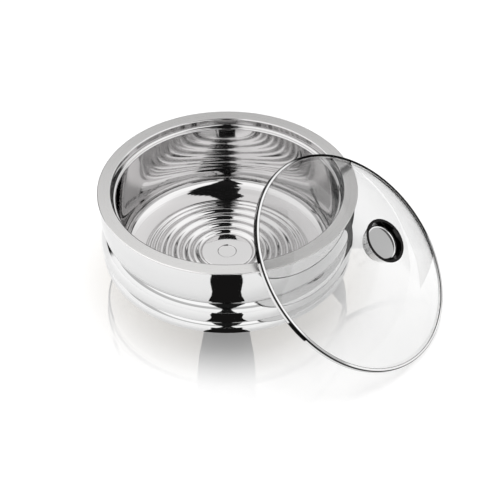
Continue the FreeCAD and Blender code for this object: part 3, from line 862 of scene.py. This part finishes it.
def tableMaterial():
    # polished white acrylic: a clear reflection beside the bowl that fades outward
    material, tree = newMaterial("polishedAcrylicTable")
    radius = radialCoordinate(tree)[1]
    rays = addNode(tree, "ShaderNodeLightPath").outputs
    tone = linearColour(tableLook["body"])
    body = addNode(tree, "ShaderNodeBsdfPrincipled", {"Base Color": tone, "Roughness": 0.4})
    lift = 0.0
    for ray, strength in tableLook["lift"].items():
        share = addNode(tree, "ShaderNodeMath", {0: rays[ray], 1: strength}, operation="MULTIPLY")
        lift = addNode(tree, "ShaderNodeMath", {0: lift, 1: share}, operation="ADD")
    glow = addNode(tree, "ShaderNodeEmission", {"Color": (1, 1, 1, 1), "Strength": lift})
    white = addNode(tree, "ShaderNodeAddShader", {0: body, 1: glow})
    near, far = (distance * mm for distance in tableLook["fade"])
    limits = {"From Min": near, "From Max": far}
    shares = {"To Min": tableLook["nearShare"], "To Max": tableLook["farShare"]}
    share = addNode(
        tree, "ShaderNodeMapRange", {"Value": radius, **limits, **shares}, interpolation_type="SMOOTHSTEP"
    )
    seen = {0: rays["Is Camera Ray"], 1: rays["Is Transmission Ray"]}
    seen = addNode(tree, "ShaderNodeMath", seen, operation="MAXIMUM")
    share = addNode(tree, "ShaderNodeMath", {0: share, 1: seen}, operation="MULTIPLY")
    tone = linearColour(tableLook["mirror"])
    mirror = addNode(tree, "ShaderNodeBsdfGlossy", {"Color": tone, "Roughness": 0.05})
    mixed = addNode(tree, "ShaderNodeMixShader", {0: share, 1: white, 2: mirror})
    addNode(tree, "ShaderNodeOutputMaterial", {"Surface": mixed})
    return material


corners = np.array([(-1, -1), (1, -1), (1, 1), (-1, 1)])
flatSheet("table", corners * tableLook["reach"], tableLook["height"], tableMaterial())

# black cards on the table, which only mirrors show; each corner is a distance from the axis and a
# half width, but for the card behind the lid, whose corners are aside and away
cards = {
    "colour": "#1A1919",
    "height": 0.3,
    "slit": [
        (80, 20), (112, 24), (133, 25), (151, 25), (178, 28), (228, 40),
        (278, 53), (367, 72), (498, 95), (950, 190), (2500, 510),
    ],
    "farSide": [(220, 110), (2500, 1400)],
    "behindLid": [(95, 30), (95, 1200), (1500, 1200), (420, 30)],
    "behindLidHeight": 0.4,
}


def blackCard(name, outline, height, material):
    sheet = flatSheet(name, outline, height, material)
    for ray in ("camera", "diffuse", "shadow", "transmission", "volume_scatter"):
        setattr(sheet, "visible_" + ray, False)


def fan(direction, sideways, spots):
    # outline that widens along a direction
    spots = np.array(spots, float)
    middle, half = spots[:, :1] * direction, spots[:, 1:] * sideways
    return np.concatenate([middle + half, (middle - half)[::-1]])


# black flocked card swallows nearly all light
black, tree = newMaterial("blackFlock")
shader = addNode(tree, "ShaderNodeEmission", {"Color": linearColour(cards["colour"]), "Strength": 1.0})
addNode(tree, "ShaderNodeOutputMaterial", {"Surface": shader})
blackCard("slitOnTable", fan(towards, across, cards["slit"]), cards["height"], black)
blackCard("darkFarTable", fan(-towards, -across, cards["farSide"]), cards["height"], black)
corners = np.array(cards["behindLid"], float) @ np.array([across, -towards])
blackCard("darkBehindLid", corners, cards["behindLidHeight"], black)
print("table and cards laid")

# white tent that mirrors show, with a duller band at the middle heights; its dark opening faces the
# viewer and runs on over the top, and two dark gaps lie low at the far end
tent = {
    "strength": 1.38,
    "light": 0.55,  # what it gives to surfaces that aren't mirrors
    # level by the sine of the elevation
    "levels": [
        (0.0, 0.85), (0.3, 0.92), (0.36, 0.92), (0.40, 0.45), (0.57, 0.5),
        (0.61, 0.96), (0.87, 0.96), (0.93, 0.85), (1.0, 0.75),
    ],
    # how far to each side the opening reaches, by the sine of the elevation
    "opening": [
        (0.0, 0.14), (0.13, 0.10), (0.26, 0.075), (0.42, 0.056), (0.5, 0.078),
        (0.56, 0.112), (0.7, 0.155), (0.79, 0.2), (0.95, 0.21),
    ],
    # smooth changes: along what, from where to where, and the value before and after
    "changes": {
        "shift": ("height", 0.82, 0.93, 0, -0.1),  # the opening's upper end lies to the left
        "farLevel": ("nearness", -0.75, -0.3, 0.72, 1),
        "farReach": ("nearness", -0.15, 0.0, 0.65, 1),
        "nearSide": ("nearness", -0.02, 0.02, 0, 1),
        "overTop": ("height", 0.9, 0.92, 0, 1),
        "farSide": ("nearness", -0.35, -0.45, 0, 1),
        "farHeight": ("height", 0.54, 0.60, 1, 0),
        "lowSide": ("nearness", -0.5, -0.6, 0, 1),
        "lowHeight": ("height", 0.22, 0.30, 1, 0),
    },
    "darkness": 0.99,
}
world = bpy.data.worlds.new("tent")
world.use_nodes = True
bpy.context.scene.world = world
tree = world.node_tree
tree.nodes.clear()

direction = addNode(tree, "ShaderNodeTexCoord").outputs["Generated"]
measures = {"height": addNode(tree, "ShaderNodeSeparateXYZ", {"Vector": direction}).outputs["Z"]}
for name, axis in (("nearness", towards), ("sideness", across)):
    dot = addNode(tree, "ShaderNodeVectorMath", {0: direction, 1: (*axis, 0)}, operation="DOT_PRODUCT")
    measures[name] = dot.outputs["Value"]
change = {}
for name, (along, low, high, before, after) in tent["changes"].items():
    settings = {"From Min": low, "From Max": high, "To Min": before, "To Max": after}
    inputs = {"Value": measures[along], **settings}
    change[name] = addNode(tree, "ShaderNodeMapRange", inputs, interpolation_type="SMOOTHSTEP")
levels, opening = (
    addNode(
        tree,
        "ShaderNodeValToRGB",
        {"Fac": measures["height"]},
        [(place, (value, value, value, 1)) for place, value in tent[name]],
    )
    for name in ("levels", "opening")
)

# dark where the direction is within the opening or in one of the two gaps at the far end
shifted = addNode(tree, "ShaderNodeMath", {0: measures["sideness"], 1: change["shift"]}, operation="ADD")
aside = addNode(tree, "ShaderNodeMath", {0: shifted}, operation="ABSOLUTE")
reach = addNode(tree, "ShaderNodeMath", {0: opening, 1: change["farReach"]}, operation="MULTIPLY")
within = addNode(tree, "ShaderNodeMath", {0: aside, 1: reach}, operation="LESS_THAN")
onSide = addNode(tree, "ShaderNodeMath", {0: change["nearSide"], 1: change["overTop"]}, operation="MAXIMUM")
dark = addNode(tree, "ShaderNodeMath", {0: within, 1: onSide}, operation="MULTIPLY")
for side, low in (("farSide", "farHeight"), ("lowSide", "lowHeight")):
    gap = addNode(tree, "ShaderNodeMath", {0: change[side], 1: change[low]}, operation="MULTIPLY")
    dark = addNode(tree, "ShaderNodeMath", {0: dark, 1: gap}, operation="MAXIMUM")
bright = {0: dark, 1: -tent["darkness"], 2: 1.0}
level = addNode(tree, "ShaderNodeMath", bright, operation="MULTIPLY_ADD")
for factor in (tent["strength"], levels, change["farLevel"]):
    level = addNode(tree, "ShaderNodeMath", {0: level, 1: factor}, operation="MULTIPLY")

# mirrors show the tent, the camera sees plain white, also through glass, and the rest is lit plainly
rays = addNode(tree, "ShaderNodeLightPath").outputs
seen = {0: rays["Is Camera Ray"], 1: rays["Is Transmission Ray"]}
seen = addNode(tree, "ShaderNodeMath", seen, operation="MAXIMUM")
strength = addNode(tree, "ShaderNodeMix", {"Factor": rays["Is Glossy Ray"], "A": tent["light"], "B": level})
strength = addNode(tree, "ShaderNodeMix", {"Factor": seen, "A": strength, "B": 1.0})
light = addNode(tree, "ShaderNodeBackground", {"Color": (1, 1, 1, 1), "Strength": strength})
addNode(tree, "ShaderNodeOutputWorld", {"Surface": light})

# three soft boxes light the object plainly; neither mirrors nor glass show them
lamps = {
    "leftBox": {"at": (-1100, -300, 700), "size": (900, 900), "power": 6.0},
    "rightBox": {"at": (900, 900, 800), "size": (900, 900), "power": 6.0},
    "topBox": {"at": (0, 200, 1300), "size": (1000, 700), "power": 9.0},
}
for name, lamp in lamps.items():
    data = bpy.data.lights.new(name, "AREA")
    data.shape = "RECTANGLE"
    data.size, data.size_y = (length * mm for length in lamp["size"])
    data.energy = lamp["power"]
    box = bpy.data.objects.new(name, data)
    spot = np.array(lamp["at"]) * mm
    aim = -spot / np.linalg.norm(spot)
    sideways = np.cross(aim, [0, 0, 1])
    if np.linalg.norm(sideways) < 0.2:  # points nearly straight down
        sideways = np.array([1.0, 0, 0])
    sideways /= np.linalg.norm(sideways)
    box.matrix_world = placed(sideways, np.cross(sideways, aim), -aim, spot)
    box.visible_glossy = box.visible_transmission = box.visible_camera = False
    bpy.context.scene.collection.objects.link(box)
print("stage ready")

bpy.context.scene.view_settings.view_transform = "Standard"
